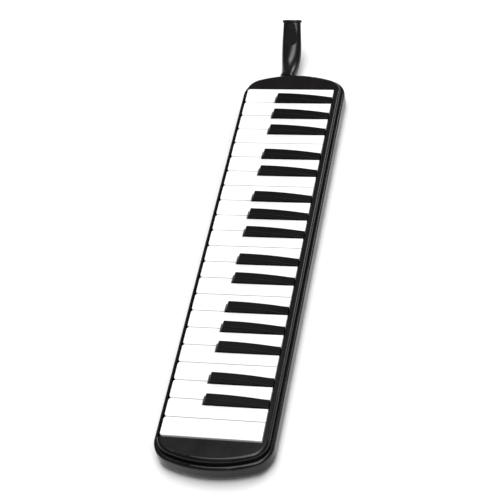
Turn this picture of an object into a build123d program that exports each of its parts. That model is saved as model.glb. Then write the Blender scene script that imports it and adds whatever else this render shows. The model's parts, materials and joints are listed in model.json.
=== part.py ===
from build123d import *

import math
import os

# A 37-key melodica: 22 white and 15 black rocking keys over a reed chest, in a slim two-part case.
# +X runs along the keyboard from the bass end to the treble end, +Y from the player's side to the back,
# and +Z is up. The origin is on the resting plane, in the middle of the instrument's whole length with
# its mouthpiece plugged in. Sizes are in millimetres.

os.makedirs("parts", exist_ok=True)

# ---- driving dimensions -------------------------------------------------------------------------------
WHITE_PITCH = 17.5
WHITE_COUNT = 22
WHITE_LENGTH = 81.5  # front edge to the back rail
BLACK_LENGTH = 52.2
BLACK_WIDTH = 7.9
BLACK_TOP_WIDTH = 6.9
KEY_GAP = 0.6
BLACK_KEY_GAP = 0.4
NOSE_GAP = 0.9  # a black key's front swings forward as it goes down
THREE_SHIFT = 2.8  # outer black keys of a group of three stand this far off the white keys' boundary
TWO_SHIFT = 1.5  # and those of a pair
BASS_SHIFT = -0.5  # and every black key stands a little towards the bass end

CASE_LENGTH = 434.8
CASE_DEPTH = 96.2
END_RADIUS = 99.0  # the bow of each end, seen from above
CORNER_RADIUS = 20.0
TIER_INSET = 3.2  # the upper tier stands in from the case's outline
TIER_SHORTER = 1.0  # and a little more than that at each end
TIER_ROUND = 2.8
GROOVE_DEPTH = 1.3
WALL = 2.4
TOP_SKIN = 2.2

FOOT_HEIGHT = 1.0
CASE_BOTTOM = FOOT_HEIGHT
FLOOR_TOP = 3.2
BOTTOM_ROUND = 8.0
RIM_ROUND = 2.2
PARTING = 17.0
LEDGE = 19.6
CASE_TOP = 25.0
WHITE_TOP = 27.0
BLACK_FRONT_TOP = 32.6
BLACK_REAR_TOP = 27.4

CHEST_BOTTOM = 4.6
CHEST_FLOOR_TOP = 6.0
CHEST_RIM = 10.8
BOARD_BOTTOM = 11.2
BOARD_TOP = 14.6
POCKET_DEPTH = 2.0
REED_PLATE_THICKNESS = 1.0
REED_THICKNESS = 0.3
PAD_GAP = 0.05
PAD_BOTTOM = BOARD_TOP + PAD_GAP
TAIL_BOTTOM = 16.6

SOCKET_Y = -10.6
SOCKET_Z = 12.5
SOCKET_BORE = 11.2
STUB_DIAMETER = 11.0
STUB_DEPTH = 14.0
COLLAR_REACH = 6.0  # beyond the case's end wall

TUBE_STRAIGHT = 2.0
BEAK_BEND_RADIUS = 35.0
BEAK_BEND = 45.0
BEAK_STRAIGHT = 27.9
LIP_WIDTH = 18.5
LIP_HEIGHT = 9.5
LIP_THICKNESS = 2.6
LIP_ROUND = 0.9
SCOOP_LEVEL = 3.35  # above the middle of the blade
SCOOP_START = 3.4
SCOOP_WIDTH = 11.0

# ---- derived places -----------------------------------------------------------------------------------
KEYBOARD = WHITE_PITCH * WHITE_COUNT
KEYBOARD_MIDDLE = 1.4  # the keyboard stands a little towards the treble end of the case
KEYBOARD_LOW = KEYBOARD_MIDDLE - KEYBOARD / 2
KEY_FRONT = -41.9
KEY_REAR = KEY_FRONT + WHITE_LENGTH - 0.4
RAIL_FRONT = KEY_FRONT + WHITE_LENGTH
BLACK_FRONT = KEY_REAR - BLACK_LENGTH
PIVOT_Y = 14.0
PIVOT_Z = 18.6
ROD_DIAMETER = 2.4
ROD_CLEARANCE = 0.05

bend = math.radians(BEAK_BEND)
MOUTH_REACH = (
    COLLAR_REACH
    + TUBE_STRAIGHT
    + BEAK_BEND_RADIUS * math.sin(bend)
    + BEAK_STRAIGHT * math.cos(bend)
    + LIP_HEIGHT / 2 * math.sin(bend)
)
CASE_X = MOUTH_REACH / 2  # the case's middle, so that the origin is in the middle of the whole length

NOTES = ["f", "g", "a", "b", "c", "d", "e"]  # white notes in the order they stand, from the bass end
SHARPS = {"f": -THREE_SHIFT, "g": 0.0, "a": THREE_SHIFT, "c": -TWO_SHIFT, "d": TWO_SHIFT}


def level(z):
    """The horizontal plane at height z, centred on the case."""
    return Plane((CASE_X, 0, z))


def cross(x):
    """The upright plane across the case at x from its middle, with its own x along +Y and its y along +Z."""
    return Plane((CASE_X + x, 0, 0), x_dir=(0, 1, 0), z_dir=(1, 0, 0))


def save(part, label):
    part.label = label
    export_step(part, f"parts/{label}.step")


# ---- the keyboard's layout ----------------------------------------------------------------------------
def white_name(index):
    note = NOTES[index % 7]
    octave = 3 + (index + 3) // 7
    return f"{note}{octave}"


def black_middle(index):
    """The middle of the black key between white keys index and index + 1, or None where there is none."""
    shift = SHARPS.get(NOTES[index % 7])
    if shift is None or index >= WHITE_COUNT - 1:
        return None
    return KEYBOARD_LOW + (index + 1) * WHITE_PITCH + shift + BASS_SHIFT


def tail_span(index):
    """The low and high x of white key index where it passes between the black keys."""
    low = KEYBOARD_LOW + index * WHITE_PITCH + KEY_GAP / 2
    high = low + WHITE_PITCH - KEY_GAP
    before = black_middle(index - 1) if index > 0 else None
    after = black_middle(index)
    reach = BLACK_WIDTH / 2 + BLACK_KEY_GAP
    if before is not None:
        low = before + reach
    if after is not None:
        high = after - reach
    return low, high


LEVERS = []  # (name, middle of the tail, is it black), from the bass end to the treble end
for index in range(WHITE_COUNT):
    low, high = tail_span(index)
    LEVERS.append((f"key_{white_name(index)}", (low + high) / 2, False))
    if black_middle(index) is not None:
        LEVERS.append((f"key_{white_name(index)}_sharp", black_middle(index), True))


# ---- the case -----------------------------------------------------------------------------------------
def case_outline(inset, shorter=0.0):
    """The case's plan, drawn in by inset all round and by shorter more at each end."""
    half_length = CASE_LENGTH / 2 - inset - shorter
    half_depth = CASE_DEPTH / 2 - inset
    end_radius = END_RADIUS - inset
    corner_x = half_length - end_radius + math.sqrt(end_radius**2 - half_depth**2)
    with BuildSketch() as plan:
        with BuildLine():
            back = Line((-corner_x, half_depth), (corner_x, half_depth))
            front = Line((corner_x, -half_depth), (-corner_x, -half_depth))
            ThreePointArc(back @ 1, (half_length, 0), front @ 0)
            ThreePointArc(front @ 1, (-half_length, 0), back @ 0)
        make_face()
        fillet(plan.vertices(), CORNER_RADIUS - inset)
    return plan.sketch


SCREW_PLACES = [(sx * 203.0, sy * 22.0) for sx in (-1, 1) for sy in (-1, 1)]
SCREW_PLACES += [(x, 42.0) for x in (-140.0, -70.0, 0.0, 70.0, 140.0)]
BOSS_DIAMETER = 4.2
SCREW_DIAMETER = 2.0
SCREW_HEAD_DIAMETER = 3.8
SCREW_SINK = 4.0

FOOT_PLACES = [(sx * 180.0, sy * 33.0) for sx in (-1, 1) for sy in (-1, 1)]
FOOT_DIAMETER = 10.0

STRAP_LENGTH = 168.0
STRAP_WIDTH = 25.0
STRAP_THICKNESS = 1.2
CHANNEL_TOP = 2.9
CHANNEL_MARGIN = 1.5
ANCHOR_LENGTH = 12.0
ANCHOR_THICKNESS = 1.0

DRAIN_X = 176.0
DRAIN_Y = 8.0
BUTTON_DIAMETER = 11.0
BUTTON_GAP = 0.3
DRAIN_HOLE_DIAMETER = 8.0
DRAIN_STEM_DIAMETER = 4.0
DRAIN_PAD_DIAMETER = 11.0
DRAIN_PAD_THICKNESS = 1.5

with BuildPart() as cavity:
    with BuildSketch(level(FLOOR_TOP)):
        add(case_outline(WALL))
    extrude(amount=LEDGE - FLOOR_TOP)
    fillet(cavity.faces().sort_by(Axis.Z)[0].edges(), BOTTOM_ROUND - WALL + 0.2)

with BuildPart() as lower_case:
    with BuildSketch(level(CASE_BOTTOM)):
        add(case_outline(0))
    extrude(amount=LEDGE - CASE_BOTTOM)
    fillet(lower_case.faces().sort_by(Axis.Z)[0].edges(), BOTTOM_ROUND)
    fillet(lower_case.faces().sort_by(Axis.Z)[-1].edges(), RIM_ROUND)
    add(cavity.part, mode=Mode.SUBTRACT)
    # screw bosses, and the raised floor over the strap's channel
    with BuildSketch(level(FLOOR_TOP - 0.5)):
        with Locations(*SCREW_PLACES):
            Circle(BOSS_DIAMETER / 2)
    extrude(amount=PARTING - FLOOR_TOP + 0.5)
    with BuildSketch(level(FLOOR_TOP - 0.5)):
        RectangleRounded(
            STRAP_LENGTH + 2 * CHANNEL_MARGIN + 3, STRAP_WIDTH + 2 * CHANNEL_MARGIN + 3, 5
        )
    extrude(amount=CHANNEL_TOP + 1.5 - FLOOR_TOP + 0.5)
    with BuildSketch(level(CASE_BOTTOM)):
        RectangleRounded(STRAP_LENGTH + 2 * CHANNEL_MARGIN, STRAP_WIDTH + 2 * CHANNEL_MARGIN, 4)
    extrude(amount=CHANNEL_TOP - CASE_BOTTOM, mode=Mode.SUBTRACT)
    # screw holes with sunk heads, the button's hole and the mouthpiece collar's seat
    with BuildSketch(level(CASE_BOTTOM)):
        with Locations(*SCREW_PLACES):
            Circle(SCREW_DIAMETER / 2)
    extrude(amount=PARTING - CASE_BOTTOM, mode=Mode.SUBTRACT)
    with BuildSketch(level(CASE_BOTTOM)):
        with Locations(*SCREW_PLACES):
            Circle(SCREW_HEAD_DIAMETER / 2 + 0.1)
    extrude(amount=SCREW_SINK, mode=Mode.SUBTRACT)
    with BuildSketch(level(CASE_BOTTOM)):
        with Locations((DRAIN_X, DRAIN_Y)):
            Circle(BUTTON_DIAMETER / 2 + BUTTON_GAP)
    extrude(amount=FLOOR_TOP - CASE_BOTTOM, mode=Mode.SUBTRACT)
    with BuildSketch(cross(-CASE_LENGTH / 2 - 1)):
        with Locations((SOCKET_Y, SOCKET_Z)):
            Circle(7.0)
    extrude(amount=12, mode=Mode.SUBTRACT)
save(lower_case.part, "lower_case")

with BuildPart() as upper_case:
    # a flange inside the lower case's rim is the floor of the groove between the two
    with BuildSketch(level(PARTING)):
        add(case_outline(WALL + 0.1))
    extrude(amount=LEDGE - GROOVE_DEPTH - PARTING)
    with BuildSketch(level(PARTING)):
        add(case_outline(TIER_INSET, TIER_SHORTER))
    extrude(amount=CASE_TOP - PARTING)
    fillet(upper_case.faces().sort_by(Axis.Z)[-1].edges(), TIER_ROUND)
    # the hollow under the top skin, down to the parting plane
    with BuildSketch(level(PARTING)):
        add(case_outline(TIER_INSET + WALL, TIER_SHORTER))
    extrude(amount=CASE_TOP - TOP_SKIN - PARTING, mode=Mode.SUBTRACT)
    # posts that take the screws
    with BuildSketch(level(PARTING)):
        with Locations(*SCREW_PLACES):
            Circle(BOSS_DIAMETER / 2)
    extrude(amount=CASE_TOP - TOP_SKIN - PARTING + 0.5)
    # the key well, open at the front and from top to bottom
    with BuildSketch(level(PARTING)):
        with Locations((KEYBOARD_MIDDLE, (RAIL_FRONT - CASE_DEPTH / 2) / 2)):
            Rectangle(KEYBOARD + 0.4, RAIL_FRONT + CASE_DEPTH / 2)
    extrude(amount=CASE_TOP - PARTING, mode=Mode.SUBTRACT)
    # pilot holes, and the collar's seat
    with BuildSketch(level(PARTING)):
        with Locations(*SCREW_PLACES):
            Circle(SCREW_DIAMETER / 2)
    extrude(amount=4.0, mode=Mode.SUBTRACT)
    with BuildSketch(cross(-CASE_LENGTH / 2 - 1)):
        with Locations((SOCKET_Y, SOCKET_Z)):
            Circle(7.0)
    extrude(amount=12, mode=Mode.SUBTRACT)
save(upper_case.part, "upper_case")

# nine self-tapping screws: a sunk round head with a cross, and a shank into the upper case
with BuildPart() as case_screws:
    head_bottom = CASE_BOTTOM + SCREW_SINK - 2.0
    with BuildSketch(level(head_bottom)):
        with Locations(*SCREW_PLACES):
            Circle(SCREW_HEAD_DIAMETER / 2)
    extrude(amount=2.0)
    with BuildSketch(level(head_bottom + 2.0)):
        with Locations(*SCREW_PLACES):
            Circle(SCREW_DIAMETER / 2 - 0.02)
    extrude(amount=PARTING + 3.0 - head_bottom - 2.0)
    with BuildSketch(level(head_bottom)):
        with Locations(*SCREW_PLACES):
            Rectangle(2.6, 0.6)
            Rectangle(0.6, 2.6)
    extrude(amount=1.0, mode=Mode.SUBTRACT)
save(case_screws.part, "case_screws")

with BuildPart() as rubber_feet:
    with BuildSketch(level(0)):
        with Locations(*FOOT_PLACES):
            Circle(FOOT_DIAMETER / 2)
    extrude(amount=FOOT_HEIGHT)
    fillet(rubber_feet.faces().group_by(Axis.Z)[0].edges(), 0.4)
save(rubber_feet.part, "rubber_feet")

# ---- the hand strap under the case ----------------------------------------------------------------------
with BuildPart() as hand_strap:
    with BuildSketch(level(CHANNEL_TOP - STRAP_THICKNESS)):
        RectangleRounded(STRAP_LENGTH, STRAP_WIDTH, 3)
    extrude(amount=STRAP_THICKNESS)
save(hand_strap.part, "hand_strap")

anchor_x = STRAP_LENGTH / 2 - ANCHOR_LENGTH / 2 - 1.0
anchor_top = CHANNEL_TOP - STRAP_THICKNESS
with BuildPart() as strap_anchors:
    with BuildSketch(level(anchor_top - ANCHOR_THICKNESS)):
        with Locations((-anchor_x, 0), (anchor_x, 0)):
            RectangleRounded(ANCHOR_LENGTH, STRAP_WIDTH - 1, 2.5)
    extrude(amount=ANCHOR_THICKNESS)
    fillet(strap_anchors.faces().group_by(Axis.Z)[0].edges(), 0.35)
    with BuildSketch(level(anchor_top - ANCHOR_THICKNESS)):
        with Locations(*[(sx * anchor_x, sy * 7.0) for sx in (-1, 1) for sy in (-1, 1)]):
            Circle(2.1)
    extrude(amount=0.6, mode=Mode.SUBTRACT)
save(strap_anchors.part, "strap_anchors")

# ---- the reed chest -------------------------------------------------------------------------------------
CHEST_LOW_X = -196.0
CHEST_HIGH_X = 196.0
CHEST_FRONT = -19.0
CHEST_REAR = 38.6
CHEST_WALL = 2.0
chest_length = CHEST_HIGH_X - CHEST_LOW_X
chest_depth = CHEST_REAR - CHEST_FRONT
chest_middle = (0, (CHEST_FRONT + CHEST_REAR) / 2)
inlet_face = -CASE_LENGTH / 2 + 11.0  # where the collar ends inside the case

with BuildPart() as wind_chest:
    with BuildSketch(level(CHEST_BOTTOM)):
        with Locations(chest_middle):
            Rectangle(chest_length, chest_depth)
    extrude(amount=CHEST_RIM - CHEST_BOTTOM)
    with BuildSketch(level(CHEST_FLOOR_TOP)):
        with Locations(chest_middle):
            Rectangle(chest_length - 2 * CHEST_WALL, chest_depth - 2 * CHEST_WALL)
    extrude(amount=CHEST_RIM - CHEST_FLOOR_TOP, mode=Mode.SUBTRACT)
    # the inlet stands past the keyboard's end and leads the breath down into the chest
    inlet_length = CHEST_LOW_X - inlet_face
    with BuildSketch(level(CHEST_BOTTOM)):
        with Locations((CHEST_LOW_X - inlet_length / 2, SOCKET_Y)):
            Rectangle(inlet_length, 17.0)
    extrude(amount=SOCKET_Z + 7.5 - CHEST_BOTTOM)
    with BuildSketch(cross(inlet_face)):
        with Locations((SOCKET_Y, SOCKET_Z)):
            Circle(SOCKET_BORE / 2)
    extrude(amount=inlet_length - 2.0, mode=Mode.SUBTRACT)
    with BuildSketch(cross(inlet_face + 3.0)):
        with Locations((SOCKET_Y, (CHEST_FLOOR_TOP + CHEST_RIM) / 2)):
            Rectangle(10.0, CHEST_RIM - CHEST_FLOOR_TOP)
    extrude(amount=inlet_length - 3.0 + CHEST_WALL, mode=Mode.SUBTRACT)
    # moisture leaves by the hole that the drain valve shuts
    with BuildSketch(level(CHEST_BOTTOM)):
        with Locations((DRAIN_X, DRAIN_Y)):
            Circle(DRAIN_HOLE_DIAMETER / 2)
    extrude(amount=CHEST_FLOOR_TOP - CHEST_BOTTOM, mode=Mode.SUBTRACT)
save(wind_chest.part, "wind_chest")

with BuildPart() as chest_gasket:
    with BuildSketch(level(CHEST_RIM)):
        with Locations(chest_middle):
            Rectangle(chest_length, chest_depth)
            Rectangle(
                chest_length - 2 * CHEST_WALL, chest_depth - 2 * CHEST_WALL, mode=Mode.SUBTRACT
            )
    extrude(amount=BOARD_BOTTOM - CHEST_RIM)
save(chest_gasket.part, "chest_gasket")

# each reed's slot runs from its root near the front of the chest back to under its pad
REED_ROOT_Y = -9.0
LONGEST_REED = 30.0
SHORTEST_REED = 13.0
REED_WIDTH_LOW = 3.6
REED_WIDTH_HIGH = 2.2
PAD_WIDTH = 6.0
PAD_LENGTH = 13.0
PAD_Y = 30.5
PORT_WIDTH = 3.4
PORT_LENGTH = 9.0
POST_THICKNESS = 3.0
POST_PLACES = [KEYBOARD_LOW - 1.9, KEYBOARD_LOW + KEYBOARD + 1.9]
POST_PLACES += [
    KEYBOARD_LOW + (index + 1) * WHITE_PITCH
    for index in range(WHITE_COUNT - 1)
    if black_middle(index) is None
]


def reed_length(order):
    share = order / (len(LEVERS) - 1)
    return LONGEST_REED + (SHORTEST_REED - LONGEST_REED) * share


def reed_width(order):
    share = order / (len(LEVERS) - 1)
    return REED_WIDTH_LOW + (REED_WIDTH_HIGH - REED_WIDTH_LOW) * share


with BuildPart() as pallet_board:
    with BuildSketch(level(BOARD_BOTTOM)):
        with Locations(chest_middle):
            Rectangle(chest_length, chest_depth)
    extrude(amount=BOARD_TOP - BOARD_BOTTOM)
    with BuildSketch(level(BOARD_BOTTOM)):
        for order, (name, x, black) in enumerate(LEVERS):
            pocket_rear = PAD_Y + PORT_LENGTH / 2
            with Locations((x, (REED_ROOT_Y + pocket_rear) / 2)):
                Rectangle(reed_width(order) + 1.2, pocket_rear - REED_ROOT_Y)
    extrude(amount=POCKET_DEPTH, mode=Mode.SUBTRACT)
    with BuildSketch(level(BOARD_BOTTOM + POCKET_DEPTH)):
        with Locations(*[(x, PAD_Y) for _, x, _ in LEVERS]):
            Rectangle(PORT_WIDTH, PORT_LENGTH)
    extrude(amount=BOARD_TOP - BOARD_BOTTOM - POCKET_DEPTH, mode=Mode.SUBTRACT)
    # posts between the keys carry the hinge rod
    with BuildSketch(level(BOARD_TOP)):
        with Locations(*[(x, PIVOT_Y) for x in POST_PLACES]):
            Rectangle(POST_THICKNESS, 8.0)
    extrude(amount=PIVOT_Z + 3.0 - BOARD_TOP)
    with BuildSketch(cross(-KEYBOARD)):
        with Locations((PIVOT_Y, PIVOT_Z)):
            Circle(ROD_DIAMETER / 2)
    extrude(amount=2 * KEYBOARD, mode=Mode.SUBTRACT)
save(pallet_board.part, "pallet_board")

with BuildPart() as key_rod:
    rod_length = KEYBOARD + 8.0
    with BuildSketch(cross(KEYBOARD_MIDDLE - rod_length / 2)):
        with Locations((PIVOT_Y, PIVOT_Z)):
            Circle(ROD_DIAMETER / 2)
    extrude(amount=rod_length)
    chamfer(key_rod.edges(), 0.3)
save(key_rod.part, "key_rod")

# two reed plates share the keyboard at its middle, and hang under the board inside the chest
PLATE_SPLIT = 18  # levers on the bass plate
plate_z = BOARD_BOTTOM - REED_PLATE_THICKNESS
plate_edge = (LEVERS[PLATE_SPLIT - 1][1] + LEVERS[PLATE_SPLIT][1]) / 2
PLATE_SPANS = {"low": (-192.0, plate_edge - 0.3), "high": (plate_edge + 0.3, 192.0)}
PLATE_ORDERS = {"low": range(PLATE_SPLIT), "high": range(PLATE_SPLIT, len(LEVERS))}
PLATE_FRONT = -16.6
PLATE_REAR = 36.0
plate_screws = []
for side, (low, high) in PLATE_SPANS.items():
    plate_screws += [(x, y) for x in (low + 2.0, high - 2.0) for y in (PLATE_FRONT + 2.0, PLATE_REAR - 2.0)]

for side, (low, high) in PLATE_SPANS.items():
    with BuildPart() as reed_plate:
        with BuildSketch(level(plate_z)):
            with Locations(((low + high) / 2, (PLATE_FRONT + PLATE_REAR) / 2)):
                Rectangle(high - low, PLATE_REAR - PLATE_FRONT)
            for order in PLATE_ORDERS[side]:
                with Locations((LEVERS[order][1], REED_ROOT_Y + reed_length(order) / 2)):
                    Rectangle(reed_width(order), reed_length(order), mode=Mode.SUBTRACT)
            with Locations(*[place for place in plate_screws if low < place[0] < high]):
                Circle(1.1, mode=Mode.SUBTRACT)
        extrude(amount=REED_PLATE_THICKNESS)
    save(reed_plate.part, f"reed_plate_{side}")

    # a tongue over each slot, held at its root by a rivet
    with BuildPart() as reeds:
        with BuildSketch(level(plate_z - REED_THICKNESS)):
            for order in PLATE_ORDERS[side]:
                tongue = reed_length(order) + 2.6
                with Locations((LEVERS[order][1], REED_ROOT_Y - 3.0 + tongue / 2)):
                    Rectangle(reed_width(order) - 0.2, tongue)
        extrude(amount=REED_THICKNESS)
        with BuildSketch(level(plate_z - REED_THICKNESS - 0.4)):
            with Locations(*[(LEVERS[order][1], REED_ROOT_Y - 1.6) for order in PLATE_ORDERS[side]]):
                Circle(0.9)
        extrude(amount=0.4)
    save(reeds.part, f"reeds_{side}")

with BuildPart() as reed_plate_screws:
    with BuildSketch(level(plate_z - 1.0)):
        with Locations(*plate_screws):
            Circle(1.7)
    extrude(amount=1.0)
    with BuildSketch(level(plate_z)):
        with Locations(*plate_screws):
            Circle(1.0)
    extrude(amount=REED_PLATE_THICKNESS)
save(reed_plate_screws.part, "reed_plate_screws")

# ---- springs and the felt that stops the keys -------------------------------------------------------------
SPRING_FRONT = -12.0
SPRING_WIDTH = 3.0
SPRING_THICKNESS = 0.35
SPRING_RISE = 2.4
with BuildPart() as spring_comb:
    with BuildSketch(level(BOARD_TOP)):
        with Locations((KEYBOARD_MIDDLE, 7.0)):
            Rectangle(KEYBOARD - 4.0, 5.0)
    extrude(amount=SPRING_THICKNESS)
    # each finger rises forwards from the rail to its key's lever
    with BuildSketch(Plane.YZ.offset(CASE_X)):
        with BuildLine():
            Polyline(
                (5.0, BOARD_TOP),
                (SPRING_FRONT, BOARD_TOP + SPRING_RISE),
                (SPRING_FRONT, BOARD_TOP + SPRING_RISE + SPRING_THICKNESS),
                (5.0, BOARD_TOP + SPRING_THICKNESS),
                close=True,
            )
        make_face()
    finger_solid = extrude(amount=SPRING_WIDTH / 2, both=True, mode=Mode.PRIVATE)
    with Locations(*[(x, 0, 0) for _, x, _ in LEVERS]):
        add(finger_solid)
save(spring_comb.part, "spring_comb")

with BuildPart() as front_felt:
    with BuildSketch(level(FLOOR_TOP)):
        with Locations((KEYBOARD_MIDDLE, KEY_FRONT + 6.0)):
            Rectangle(KEYBOARD, 7.0)
    extrude(amount=9.6)
save(front_felt.part, "front_felt")


# ---- the keys -------------------------------------------------------------------------------------------
LEVER_WIDTH = 4.4
LEVER_BOTTOM = 17.6
SLAB_BOTTOM = 23.6
BOSS_RADIUS = 3.0
LIP_DEPTH = 3.0
LIP_BOTTOM = 19.6


def lever(x, front, slab_bottom):
    """The web, hinge boss and tail under a key's top."""
    tail_front = PAD_Y - PAD_LENGTH / 2 - 1.0
    tail_rear = PAD_Y + PAD_LENGTH / 2 + 0.3
    with BuildPart() as arm:
        with BuildSketch(cross(x - LEVER_WIDTH / 2)):
            with BuildLine():
                Polyline(
                    (front, LEVER_BOTTOM),
                    (tail_rear - 5.0, LEVER_BOTTOM),
                    (tail_rear - 5.0, slab_bottom + 0.5),
                    (front, slab_bottom + 0.5),
                    close=True,
                )
            make_face()
            with Locations((PIVOT_Y, PIVOT_Z)):
                Circle(BOSS_RADIUS)
        extrude(amount=LEVER_WIDTH)
        with BuildSketch(cross(x - PAD_WIDTH / 2 - 0.2)):
            with BuildLine():
                Polyline(
                    (tail_front - 2.0, slab_bottom + 0.5),
                    (tail_front, TAIL_BOTTOM),
                    (tail_rear, TAIL_BOTTOM),
                    (tail_rear, slab_bottom + 0.5),
                    close=True,
                )
            make_face()
        extrude(amount=PAD_WIDTH + 0.4)
    return arm.part


def pad(x):
    """The soft pad under a key's tail, a solid of its own."""
    with BuildPart() as soft:
        with BuildSketch(level(PAD_BOTTOM)):
            with Locations((x, PAD_Y)):
                RectangleRounded(PAD_WIDTH, PAD_LENGTH, 1.0)
        extrude(amount=TAIL_BOTTOM - PAD_BOTTOM)
    return soft.part.solid()


def white_outline(low, high, tail_low, tail_high):
    """A white key's corners seen from above, cut back on each side that a black key stands on."""
    shoulder = BLACK_FRONT - NOSE_GAP
    points = [(low, KEY_FRONT), (high, KEY_FRONT)]
    if tail_high < high:
        points += [(high, shoulder), (tail_high, shoulder)]
    points += [(tail_high, KEY_REAR), (tail_low, KEY_REAR)]
    if tail_low > low:
        points += [(tail_low, shoulder), (low, shoulder)]
    return points


def white_key(index):
    low = KEYBOARD_LOW + index * WHITE_PITCH + KEY_GAP / 2
    high = low + WHITE_PITCH - KEY_GAP
    tail_low, tail_high = tail_span(index)
    middle = (tail_low + tail_high) / 2
    arm = lever(middle, KEY_FRONT + LIP_DEPTH, SLAB_BOTTOM)
    with BuildPart() as key:
        with BuildSketch(level(SLAB_BOTTOM)):
            with BuildLine():
                Polyline(*white_outline(low, high, tail_low, tail_high), close=True)
            make_face()
        extrude(amount=WHITE_TOP - SLAB_BOTTOM)
        # the front lip hangs down behind the case's front strip
        with BuildSketch(level(LIP_BOTTOM)):
            with Locations(((low + high) / 2, KEY_FRONT + LIP_DEPTH / 2)):
                Rectangle(high - low, LIP_DEPTH)
        extrude(amount=SLAB_BOTTOM - LIP_BOTTOM)
        upright = key.edges().filter_by(Axis.Z).group_by(Axis.Y)[0]
        fillet(upright, 2.2)
        crown = key.faces().sort_by(Axis.Z)[-1]
        fillet(crown.edges(), 0.5)
        add(arm)
        with BuildSketch(cross(middle - PAD_WIDTH)):
            with Locations((PIVOT_Y, PIVOT_Z)):
                Circle(ROD_DIAMETER / 2 + ROD_CLEARANCE)
        extrude(amount=2 * PAD_WIDTH, mode=Mode.SUBTRACT)
    return Compound(children=[key.part.solid(), pad(middle)])


def black_key(index):
    x = black_middle(index)
    arm = lever(x, BLACK_FRONT + 2.0, SLAB_BOTTOM - 1.0)
    with BuildPart() as key:
        # the side view: a sloping front, and a top that falls away towards the back
        with BuildSketch(cross(x - BLACK_WIDTH / 2)):
            with BuildLine():
                foot = Line((KEY_REAR, SLAB_BOTTOM - 1.0), (BLACK_FRONT, SLAB_BOTTOM - 1.0))
                nose = Line(foot @ 1, (BLACK_FRONT, WHITE_TOP))
                slope = Line(nose @ 1, (BLACK_FRONT + 2.6, BLACK_FRONT_TOP))
                crest = ThreePointArc(
                    slope @ 1,
                    (BLACK_FRONT + 24.0, BLACK_FRONT_TOP - 1.0),
                    (KEY_REAR, BLACK_REAR_TOP),
                )
                Line(crest @ 1, foot @ 0)
            make_face()
        extrude(amount=BLACK_WIDTH)
        # the end view: sides that lean in above the white keys
        with BuildSketch(Plane((CASE_X + x, BLACK_FRONT - 1, 0), x_dir=(-1, 0, 0), z_dir=(0, 1, 0))):
            with BuildLine():
                Polyline(
                    (-BLACK_WIDTH / 2, SLAB_BOTTOM - 2.0),
                    (BLACK_WIDTH / 2, SLAB_BOTTOM - 2.0),
                    (BLACK_WIDTH / 2, WHITE_TOP - 0.5),
                    (BLACK_TOP_WIDTH / 2, BLACK_FRONT_TOP + 1.0),
                    (-BLACK_TOP_WIDTH / 2, BLACK_FRONT_TOP + 1.0),
                    (-BLACK_WIDTH / 2, WHITE_TOP - 0.5),
                    close=True,
                )
            make_face()
        extrude(amount=BLACK_LENGTH + 2, mode=Mode.INTERSECT)
        crest_edges = key.edges().filter_by(lambda edge: edge.center().Z > WHITE_TOP + 3.0)
        fillet(crest_edges, 0.8)
        add(arm)
        with BuildSketch(cross(x - PAD_WIDTH)):
            with Locations((PIVOT_Y, PIVOT_Z)):
                Circle(ROD_DIAMETER / 2 + ROD_CLEARANCE)
        extrude(amount=2 * PAD_WIDTH, mode=Mode.SUBTRACT)
    return Compound(children=[key.part.solid(), pad(x)])


for index in range(WHITE_COUNT):
    save(white_key(index), f"key_{white_name(index)}")
    if black_middle(index) is not None:
        save(black_key(index), f"key_{white_name(index)}_sharp")

# ---- the drain valve --------------------------------------------------------------------------------------
with BuildPart() as drain_button:
    with BuildSketch(level(CASE_BOTTOM)):
        with Locations((DRAIN_X, DRAIN_Y)):
            Circle(BUTTON_DIAMETER / 2)
    extrude(amount=1.6)
    fillet(drain_button.faces().sort_by(Axis.Z)[0].edges(), 0.5)
    with BuildSketch(level(CASE_BOTTOM + 1.6)):
        with Locations((DRAIN_X, DRAIN_Y)):
            Circle(DRAIN_STEM_DIAMETER / 2)
    extrude(amount=CHEST_FLOOR_TOP - CASE_BOTTOM - 1.6)
save(drain_button.part, "drain_button")

with BuildPart() as drain_pad:
    with BuildSketch(level(CHEST_FLOOR_TOP)):
        with Locations((DRAIN_X, DRAIN_Y)):
            Circle(DRAIN_PAD_DIAMETER / 2)
    extrude(amount=DRAIN_PAD_THICKNESS)
save(drain_pad.part, "drain_pad")

SPRING_WIRE = 0.5
SPRING_COIL_RADIUS = 4.2
drain_spring_low = CHEST_FLOOR_TOP + DRAIN_PAD_THICKNESS + SPRING_WIRE / 2
drain_spring_high = plate_z - SPRING_WIRE / 2 - REED_THICKNESS - 0.5
with BuildPart() as drain_spring:
    coil = Helix(
        pitch=(drain_spring_high - drain_spring_low) / 2.5,
        height=drain_spring_high - drain_spring_low,
        radius=SPRING_COIL_RADIUS,
        center=(CASE_X + DRAIN_X, DRAIN_Y, drain_spring_low),
    )
    with BuildSketch(Plane(origin=coil @ 0, z_dir=coil % 0)):
        Circle(SPRING_WIRE / 2)
    sweep(path=coil)
save(drain_spring.part, "drain_spring")

# ---- the mouthpiece and its socket ----------------------------------------------------------------------
wall_x = -CASE_LENGTH / 2
with BuildPart() as socket_collar:
    with BuildSketch(cross(wall_x - COLLAR_REACH)):
        with Locations((SOCKET_Y, SOCKET_Z)):
            Circle(7.0)
    extrude(amount=COLLAR_REACH + inlet_face - wall_x)
    with BuildSketch(cross(wall_x - COLLAR_REACH)):
        with Locations((SOCKET_Y, SOCKET_Z)):
            Circle(8.0)
    extrude(amount=COLLAR_REACH - 0.6)
    fillet(socket_collar.faces().sort_by(Axis.X)[0].edges(), 0.8)
    with BuildSketch(cross(wall_x - COLLAR_REACH)):
        with Locations((SOCKET_Y, SOCKET_Z)):
            Circle(SOCKET_BORE / 2)
    extrude(amount=COLLAR_REACH + inlet_face - wall_x, mode=Mode.SUBTRACT)
save(socket_collar.part, "socket_collar")


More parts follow.
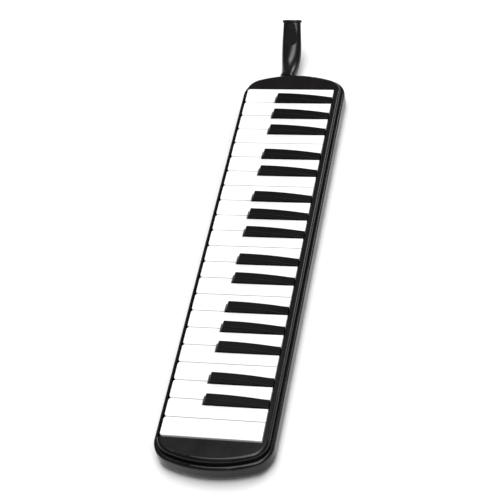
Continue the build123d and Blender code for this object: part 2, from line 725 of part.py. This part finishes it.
def beak_plane(turn, along):
    """The plane across the tube once it has turned up by turn degrees and run along mm past the bend."""
    angle = math.radians(turn)
    x = CASE_X + wall_x - COLLAR_REACH - TUBE_STRAIGHT
    x -= BEAK_BEND_RADIUS * math.sin(angle) + along * math.cos(angle)
    z = SOCKET_Z + BEAK_BEND_RADIUS * (1 - math.cos(angle)) + along * math.sin(angle)
    forward = (-math.cos(angle), 0, math.sin(angle))
    return Plane((x, SOCKET_Y, z), x_dir=(0, -1, 0), z_dir=forward)


STATIONS = [  # turn in degrees, run past the bend, width, height
    (0.0, -TUBE_STRAIGHT, 14.6, 13.6),
    (12.0, 0.0, 15.8, 13.6),
    (26.0, 0.0, 17.6, 12.8),
    (BEAK_BEND, 0.0, 18.5, 11.0),
    (BEAK_BEND, 14.0, 17.6, 8.4),
    (BEAK_BEND, BEAK_STRAIGHT, 16.4, 7.4),
]
TUBE_WALL = 1.8


def tube(shrink):
    """The loft through the stations, drawn in all round by shrink."""
    with BuildPart() as skin:
        for turn, along, width, height in STATIONS:
            with BuildSketch(beak_plane(turn, along)):
                Ellipse(width / 2 - shrink, height / 2 - shrink)
        loft()
    return skin.part


with BuildPart() as lip:
    with BuildSketch(beak_plane(BEAK_BEND, BEAK_STRAIGHT)):
        Ellipse(LIP_WIDTH / 2, LIP_HEIGHT / 2)
    extrude(amount=-LIP_THICKNESS)
    fillet(lip.edges().filter_by(GeomType.ELLIPSE), LIP_ROUND)

with BuildPart() as mouthpiece:
    add(tube(0))
    with BuildSketch(beak_plane(0, -TUBE_STRAIGHT)):
        Circle(STUB_DIAMETER / 2)
    extrude(amount=-STUB_DEPTH)
    add(lip.part)
    # a flat scoop along the top of the blade, with a round end
    scoop_length = BEAK_STRAIGHT - LIP_THICKNESS - 0.5 - SCOOP_START
    blade = beak_plane(BEAK_BEND, SCOOP_START + scoop_length / 2)
    blade_top = (math.sin(bend), 0, math.cos(bend))
    scoop_middle = blade.origin + Vector(*blade_top) * SCOOP_LEVEL
    with BuildSketch(Plane(scoop_middle, x_dir=blade.z_dir, z_dir=blade_top)):
        RectangleRounded(scoop_length, SCOOP_WIDTH, SCOOP_WIDTH / 2 - 0.1)
    extrude(amount=6.0, mode=Mode.SUBTRACT)
    add(tube(TUBE_WALL), mode=Mode.SUBTRACT)
    with BuildSketch(beak_plane(0, -TUBE_STRAIGHT)):
        Circle(STUB_DIAMETER / 2 - 1.6)
    extrude(amount=-STUB_DEPTH, mode=Mode.SUBTRACT)
    with BuildSketch(beak_plane(0, -TUBE_STRAIGHT - 7.5)):
        Circle(STUB_DIAMETER / 2)
        Circle(STUB_DIAMETER / 2 - 0.7, mode=Mode.SUBTRACT)
    extrude(amount=-1.5, mode=Mode.SUBTRACT)
save(mouthpiece.part, "mouthpiece")

with BuildPart() as mouthpiece_ring:
    with BuildSketch(beak_plane(0, -TUBE_STRAIGHT - 7.55)):
        Circle(SOCKET_BORE / 2 - 0.02)
        Circle(STUB_DIAMETER / 2 - 0.65, mode=Mode.SUBTRACT)
    extrude(amount=-1.4)
    fillet(mouthpiece_ring.edges().filter_by(GeomType.CIRCLE).sort_by(SortBy.LENGTH)[-2:], 0.4)
save(mouthpiece_ring.part, "mouthpiece_ring")
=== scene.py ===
"""The looks of a 37-key melodica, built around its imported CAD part."""

import json
import math

import bmesh
import bpy
from mathutils import Matrix, Vector


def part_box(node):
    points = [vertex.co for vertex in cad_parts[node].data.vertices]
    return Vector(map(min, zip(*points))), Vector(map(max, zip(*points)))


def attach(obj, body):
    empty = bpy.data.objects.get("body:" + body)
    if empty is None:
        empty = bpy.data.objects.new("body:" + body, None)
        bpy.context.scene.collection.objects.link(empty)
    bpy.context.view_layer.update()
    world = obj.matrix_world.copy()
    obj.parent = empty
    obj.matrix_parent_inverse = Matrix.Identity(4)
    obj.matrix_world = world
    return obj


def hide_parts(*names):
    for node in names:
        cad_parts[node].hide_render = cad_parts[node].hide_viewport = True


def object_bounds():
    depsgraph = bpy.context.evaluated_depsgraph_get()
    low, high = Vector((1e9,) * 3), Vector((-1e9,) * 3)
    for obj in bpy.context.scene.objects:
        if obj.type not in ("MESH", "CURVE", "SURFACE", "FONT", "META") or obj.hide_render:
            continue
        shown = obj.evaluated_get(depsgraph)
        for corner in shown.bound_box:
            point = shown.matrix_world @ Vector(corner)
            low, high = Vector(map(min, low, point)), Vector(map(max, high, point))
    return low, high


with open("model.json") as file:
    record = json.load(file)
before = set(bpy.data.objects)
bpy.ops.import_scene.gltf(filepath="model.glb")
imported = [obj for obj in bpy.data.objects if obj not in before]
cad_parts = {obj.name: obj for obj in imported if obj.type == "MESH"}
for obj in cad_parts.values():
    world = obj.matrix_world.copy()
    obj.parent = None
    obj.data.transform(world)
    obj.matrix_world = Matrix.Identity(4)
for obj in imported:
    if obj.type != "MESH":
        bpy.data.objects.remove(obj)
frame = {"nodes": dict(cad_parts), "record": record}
cad_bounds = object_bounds()


# ---- node helpers -------------------------------------------------------------------------------
def new_material(name, roughness, specular=0.5, metallic=0.0):
    """A principled material, its tree and its shader."""
    material = bpy.data.materials.new(name)
    material.use_nodes = True
    tree = material.node_tree
    shader = tree.nodes["Principled BSDF"]
    shader.inputs["Roughness"].default_value = roughness
    shader.inputs["Specular IOR Level"].default_value = specular
    shader.inputs["Metallic"].default_value = metallic
    return material, tree, shader


def coordinates(tree, stretch=(1, 1, 1)):
    """Object coordinates, stretched by a mapping."""
    source = tree.nodes.new("ShaderNodeTexCoord")
    mapping = tree.nodes.new("ShaderNodeMapping")
    mapping.inputs["Scale"].default_value = stretch
    tree.links.new(source.outputs["Object"], mapping.inputs["Vector"])
    return mapping.outputs["Vector"]


def noise(tree, vector, scale, detail=3.0, roughness=0.5):
    node = tree.nodes.new("ShaderNodeTexNoise")
    node.inputs["Scale"].default_value = scale
    node.inputs["Detail"].default_value = detail
    node.inputs["Roughness"].default_value = roughness
    tree.links.new(vector, node.inputs["Vector"])
    return node.outputs["Fac"]


def ramp(tree, value, low, high, start=0.35, end=0.65):
    """Turns a texture into a colour between low and high."""
    node = tree.nodes.new("ShaderNodeValToRGB")
    node.color_ramp.elements[0].position = start
    node.color_ramp.elements[0].color = (*low, 1)
    node.color_ramp.elements[1].position = end
    node.color_ramp.elements[1].color = (*high, 1)
    tree.links.new(value, node.inputs["Fac"])
    return node.outputs["Color"]


def between(tree, value, low, high):
    """Turns a texture into a number between low and high."""
    node = tree.nodes.new("ShaderNodeMapRange")
    node.inputs["From Min"].default_value = 0.3
    node.inputs["From Max"].default_value = 0.7
    node.inputs["To Min"].default_value = low
    node.inputs["To Max"].default_value = high
    tree.links.new(value, node.inputs["Value"])
    return node.outputs["Result"]


def bump(tree, shader, height, strength, distance, under=None):
    node = tree.nodes.new("ShaderNodeBump")
    node.inputs["Strength"].default_value = strength
    node.inputs["Distance"].default_value = distance
    tree.links.new(height, node.inputs["Height"])
    if under is not None:
        tree.links.new(under, node.inputs["Normal"])
    tree.links.new(node.outputs["Normal"], shader.inputs["Normal"])
    return node.outputs["Normal"]


# ---- materials ----------------------------------------------------------------------------------
def moulded_plastic(name, low, high, smooth, rough, grain, grain_scale=2600.0, specular=0.5):
    """Injection-moulded plastic: a fine grain, a faint flow of tone and uneven gloss."""
    material, tree, shader = new_material(name, smooth, specular)
    place = coordinates(tree)
    drift = noise(tree, coordinates(tree, (1, 4, 4)), 14.0, 4.0)
    tone = ramp(tree, drift, low, high)
    tree.links.new(tone, shader.inputs["Base Color"])
    handling = noise(tree, place, 42.0, 5.0, 0.6)
    tree.links.new(between(tree, handling, smooth, rough), shader.inputs["Roughness"])
    sink = noise(tree, place, 30.0, 1.0)
    waves = bump(tree, shader, sink, 0.08, 0.0006)
    pits = noise(tree, place, grain_scale, 2.0)
    bump(tree, shader, pits, grain, 0.00006, waves)
    return material


def cloth(name, low, high, pitch, strength=0.7):
    """Woven or pressed fabric: crossing threads with fuzz between them."""
    material, tree, shader = new_material(name, 0.9, 0.25)
    shader.inputs["Sheen Weight"].default_value = 0.25
    shader.inputs["Sheen Roughness"].default_value = 0.5
    threads = []
    for direction in ("X", "Y"):
        wave = tree.nodes.new("ShaderNodeTexWave")
        wave.bands_direction = direction
        wave.inputs["Scale"].default_value = 1 / pitch / 3.2
        wave.inputs["Distortion"].default_value = 0.6
        wave.inputs["Detail"].default_value = 1.0
        tree.links.new(coordinates(tree), wave.inputs["Vector"])
        threads.append(wave.outputs["Fac"])
    weave = tree.nodes.new("ShaderNodeMath")
    weave.operation = "MULTIPLY"
    tree.links.new(threads[0], weave.inputs[0])
    tree.links.new(threads[1], weave.inputs[1])
    fuzz = noise(tree, coordinates(tree), 900.0, 4.0)
    mixed = tree.nodes.new("ShaderNodeMath")
    mixed.operation = "ADD"
    tree.links.new(weave.outputs["Value"], mixed.inputs[0])
    tree.links.new(fuzz, mixed.inputs[1])
    tone = ramp(tree, mixed.outputs["Value"], low, high, 0.3, 1.2)
    tree.links.new(tone, shader.inputs["Base Color"])
    bump(tree, shader, mixed.outputs["Value"], strength, 0.0002)
    return material


def felt(name, low, high):
    material, tree, shader = new_material(name, 0.95, 0.2)
    shader.inputs["Sheen Weight"].default_value = 0.4
    fibres = noise(tree, coordinates(tree, (1, 2.5, 1)), 1400.0, 6.0, 0.7)
    tree.links.new(ramp(tree, fibres, low, high), shader.inputs["Base Color"])
    bump(tree, shader, fibres, 0.6, 0.0002)
    return material


def metal(name, low, high, smooth, rough, grain=(1, 60, 60)):
    """Drawn or milled metal, its fine lines along X."""
    material, tree, shader = new_material(name, smooth, 0.5, 1.0)
    lines = noise(tree, coordinates(tree, grain), 90.0, 5.0, 0.65)
    tree.links.new(ramp(tree, lines, low, high), shader.inputs["Base Color"])
    stains = noise(tree, coordinates(tree), 60.0, 4.0)
    tree.links.new(between(tree, stains, smooth, rough), shader.inputs["Roughness"])
    bump(tree, shader, lines, 0.15, 0.00004)
    return material


def rubber(name, low, high):
    material, tree, shader = new_material(name, 0.75, 0.3)
    dust = noise(tree, coordinates(tree), 260.0, 6.0, 0.7)
    tree.links.new(ramp(tree, dust, low, high), shader.inputs["Base Color"])
    tree.links.new(between(tree, dust, 0.6, 0.85), shader.inputs["Roughness"])
    bump(tree, shader, noise(tree, coordinates(tree), 3200.0, 2.0), 0.25, 0.00006)
    return material


FINISHES = {
    "case_plastic": moulded_plastic(
        "case_plastic",
        (0.0045, 0.0038, 0.0039),
        (0.0075, 0.0064, 0.0066),
        0.18,
        0.26,
        0.12,
        specular=0.2,
    ),
    "mouthpiece_plastic": moulded_plastic(
        "mouthpiece_plastic",
        (0.0028, 0.0026, 0.0026),
        (0.0045, 0.0042, 0.0042),
        0.22,
        0.3,
        0.06,
        specular=0.35,
    ),
    "white_key_plastic": moulded_plastic(
        "white_key_plastic", (0.8, 0.8, 0.79), (0.84, 0.84, 0.835), 0.2, 0.3, 0.04, 1800.0
    ),
    "black_key_plastic": moulded_plastic(
        "black_key_plastic",
        (0.0014, 0.0014, 0.0014),
        (0.0024, 0.0024, 0.0024),
        0.4,
        0.5,
        0.18,
        3200.0,
        specular=0.1,
    ),
    "chest_plastic": moulded_plastic(
        "chest_plastic", (0.05, 0.05, 0.053), (0.07, 0.07, 0.073), 0.45, 0.6, 0.3
    ),
    "board_plastic": moulded_plastic(
        "board_plastic", (0.16, 0.165, 0.17), (0.2, 0.205, 0.21), 0.45, 0.6, 0.3
    ),
    "anchor_plastic": moulded_plastic(
        "anchor_plastic", (0.012, 0.012, 0.012), (0.02, 0.02, 0.02), 0.5, 0.62, 0.35, 1500.0
    ),
    "button_plastic": moulded_plastic(
        "button_plastic", (0.014, 0.014, 0.014), (0.022, 0.022, 0.022), 0.35, 0.5, 0.25, 1700.0
    ),
    "seal_rubber": rubber("seal_rubber", (0.012, 0.012, 0.012), (0.03, 0.03, 0.03)),
    "feet_rubber": rubber("feet_rubber", (0.016, 0.016, 0.016), (0.045, 0.044, 0.043)),
    "screw_steel": metal(
        "screw_steel", (0.42, 0.42, 0.43), (0.62, 0.62, 0.62), 0.25, 0.45, (8, 8, 8)
    ),
    "strap_webbing": cloth("strap_webbing", (0.006, 0.006, 0.007), (0.045, 0.045, 0.048), 0.0012),
    "gasket_felt": felt("gasket_felt", (0.14, 0.015, 0.018), (0.28, 0.04, 0.045)),
    "reed_plate_metal": metal("reed_plate_metal", (0.6, 0.6, 0.61), (0.78, 0.78, 0.79), 0.28, 0.42),
    "reed_brass": metal(
        "reed_brass", (0.62, 0.42, 0.17), (0.8, 0.6, 0.28), 0.22, 0.38, (60, 1, 60)
    ),
    "spring_metal": metal(
        "spring_metal", (0.4, 0.4, 0.41), (0.62, 0.61, 0.6), 0.25, 0.4, (40, 1, 40)
    ),
}
for part in frame["record"]["subparts"]:
    slots = frame["nodes"][part["node"]].data.materials
    for number in range(len(slots)):
        slots[number] = FINISHES[part["material_slot"]]

# ---- the hand strap: woven tape with rolled edges and two rows of stitches ----------------------
strap_low, strap_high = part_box("hand_strap")
strap_length = strap_high.x - strap_low.x
strap_width = strap_high.y - strap_low.y
strap_thick = strap_high.z - strap_low.z
EDGE_START = 0.93  # where the tape starts to thin, of half the width
EDGE_WIDTH = 0.07
EDGE_THINNING = 0.75
RIPPLE = 0.00012
STITCHES = 60
STITCH_ROW = 0.8  # of half the width
STITCH_REACH = 0.82  # of half the length
CROSS_STITCHES = 9
CROSS_ROW = 0.83  # of half the length
CROSS_REACH = 0.64  # of half the width
STITCH_LENGTH = 0.0018
STITCH_RADIUS = (0.00022, 0.00018)  # across the tape and out of it
# each ring of a stitch: its place along the thread and its thickness
STITCH_SHAPE = ((-0.5, 0.3), (-0.3, 0.95), (0.0, 1.0), (0.3, 0.95), (0.5, 0.3))
SIDES = 8


def strap_point(along, across, side):
    """A point of the tape: along and across run from -1 to 1, side is -1 under and 1 above."""
    edge = 1 - EDGE_THINNING * max(0.0, (abs(across) - EDGE_START) / EDGE_WIDTH) ** 2
    ripple = RIPPLE * math.sin(along * 17.0) * math.cos(across * 2.0)
    middle = (strap_low.z + strap_high.z) / 2
    x = (strap_low.x + strap_high.x) / 2 + along * strap_length / 2
    y = (strap_low.y + strap_high.y) / 2 + across * strap_width / 2
    z = middle + side * edge * strap_thick * 0.4 + ripple * (1 - abs(along))
    return Vector((x, y, z))


def smooth_piece(name, shape):
    """Turns a finished bmesh into a smooth object in the scene."""
    mesh = bpy.data.meshes.new(name)
    bmesh.ops.recalc_face_normals(shape, faces=shape.faces)
    shape.to_mesh(mesh)
    shape.free()
    for face in mesh.polygons:
        face.use_smooth = True
    piece = bpy.data.objects.new(name, mesh)
    bpy.context.scene.collection.objects.link(piece)
    return piece


def tape(columns=140, rows=28):
    """The tape as a closed mesh: a sheet above, one below and walls between their edges."""
    shape = bmesh.new()
    sheets = []
    for side in (1, -1):
        grid = [
            [
                shape.verts.new(strap_point(2 * c / columns - 1, 2 * r / rows - 1, side))
                for r in range(rows + 1)
            ]
            for c in range(columns + 1)
        ]
        sheets.append(grid)
        for c in range(columns):
            for r in range(rows):
                ring = [grid[c][r], grid[c + 1][r], grid[c + 1][r + 1], grid[c][r + 1]]
                shape.faces.new(ring if side == 1 else ring[::-1])
    top, under = sheets
    for c in range(columns):
        for r in (0, rows):
            ring = [top[c][r], under[c][r], under[c + 1][r], top[c + 1][r]]
            shape.faces.new(ring if r == 0 else ring[::-1])
    for r in range(rows):
        for c in (0, columns):
            ring = [top[c][r], top[c][r + 1], under[c][r + 1], under[c][r]]
            shape.faces.new(ring if c == 0 else ring[::-1])
    return smooth_piece("strap_tape", shape)


def stitches():
    """Short threads on the tape's underside: a row along each edge, a row across by each anchor."""
    shape = bmesh.new()
    runs = []
    for across in (-STITCH_ROW, STITCH_ROW):
        for step in range(STITCHES):
            along = -STITCH_REACH + 2 * STITCH_REACH * step / (STITCHES - 1)
            runs.append((strap_point(along, across, -1), Vector((1, 0, 0))))
    for end in (-1, 1):
        for step in range(CROSS_STITCHES):
            across = -CROSS_REACH + 2 * CROSS_REACH * step / (CROSS_STITCHES - 1)
            runs.append((strap_point(end * CROSS_ROW, across, -1), Vector((0, 1, 0))))
    for centre, way in runs:
        side = way.cross(Vector((0, 0, 1)))
        rings = []
        for place, size in STITCH_SHAPE:
            ring = []
            for turn in range(SIDES):
                angle = math.tau * turn / SIDES
                around = side * math.cos(angle) * STITCH_RADIUS[0]
                around += Vector((0, 0, math.sin(angle) * STITCH_RADIUS[1]))
                ring.append(shape.verts.new(centre + way * place * STITCH_LENGTH + around * size))
            rings.append(ring)
        for first, second in zip(rings, rings[1:]):
            for turn in range(SIDES):
                after = (turn + 1) % SIDES
                shape.faces.new([first[turn], first[after], second[after], second[turn]])
        shape.faces.new(rings[0][::-1])
        shape.faces.new(rings[-1])
    return smooth_piece("strap_stitches", shape)


strap = tape()
strap.data.materials.append(FINISHES["strap_webbing"])
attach(strap, "case")
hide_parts("hand_strap")
thread = stitches()
thread.data.materials.append(
    cloth("strap_thread", (0.03, 0.03, 0.032), (0.07, 0.07, 0.072), 0.0003, 0.4)
)
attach(thread, "case")

# ---- floor, light and camera --------------------------------------------------------------------
ground = bpy.data.meshes.new("floor")
plate = bmesh.new()
bmesh.ops.create_grid(plate, x_segments=1, y_segments=1, size=6.0)
plate.to_mesh(ground)
plate.free()
floor = bpy.data.objects.new("floor", ground)
floor.location = (0, 0, cad_bounds[0][2] - 0.0002)
bpy.context.scene.collection.objects.link(floor)
paper, _, paper_shader = new_material("floor_paper", 0.9, 0.1)
paper_shader.inputs["Base Color"].default_value = (0.83, 0.83, 0.83, 1)
ground.materials.append(paper)


def area_light(name, place, size, power):
    """A rectangular softbox that faces the origin, its power in watts."""
    data = bpy.data.lights.new(name, "AREA")
    data.shape = "RECTANGLE"
    data.size, data.size_y = size
    data.energy = power
    light = bpy.data.objects.new(name, data)
    light.location = place
    light.rotation_euler = (-Vector(place)).to_track_quat("-Z", "Y").to_euler()
    bpy.context.scene.collection.objects.link(light)


area_light("overhead_softbox", (0.24, 0.15, 2.15), (0.95, 2.6), 62)
area_light("strip_softbox", (-1.3, 1.15, 1.1), (0.9, 0.4), 14)

world = bpy.data.worlds.new("studio")
world.use_nodes = True
world.node_tree.nodes["Background"].inputs["Color"].default_value = (1, 1, 1, 1)
world.node_tree.nodes["Background"].inputs["Strength"].default_value = 0.22
bpy.context.scene.world = world
bpy.context.scene.view_settings.view_transform = "Standard"

# the camera looks down on the keys from the treble end, somewhat behind the instrument, and is
# rolled so that the keyboard runs up the frame
AZIMUTH = math.radians(110.74)
ELEVATION = math.radians(48.26)
ROLL = math.radians(13.76)
DISTANCE = 1.237
LENS = 105.26  # millimetres, on a sensor 36 mm wide
AIM_ALONG = 0.196  # from the lowest white key's bass side
AIM_BACK = 0.0376  # from its front
keys_low, keys_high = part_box("key_f3")
aim = Vector((keys_low.x + AIM_ALONG, keys_low.y + AIM_BACK, keys_high.z))
backward = Vector(
    (
        math.sin(AZIMUTH) * math.cos(ELEVATION),
        -math.cos(AZIMUTH) * math.cos(ELEVATION),
        math.sin(ELEVATION),
    )
)
level_right = Vector((0, 0, 1)).cross(backward).normalized()
level_up = backward.cross(level_right)
right = level_right * math.cos(ROLL) - level_up * math.sin(ROLL)
up = level_right * math.sin(ROLL) + level_up * math.cos(ROLL)
lens = bpy.data.cameras.new("camera")
lens.sensor_width = 36.0
lens.lens = LENS
lens.clip_end = 50.0
camera = bpy.data.objects.new("camera", lens)
pose = Matrix((right, up, backward)).transposed().to_4x4()
pose.translation = aim + backward * DISTANCE
camera.matrix_world = pose
bpy.context.scene.collection.objects.link(camera)
bpy.context.scene.camera = camera
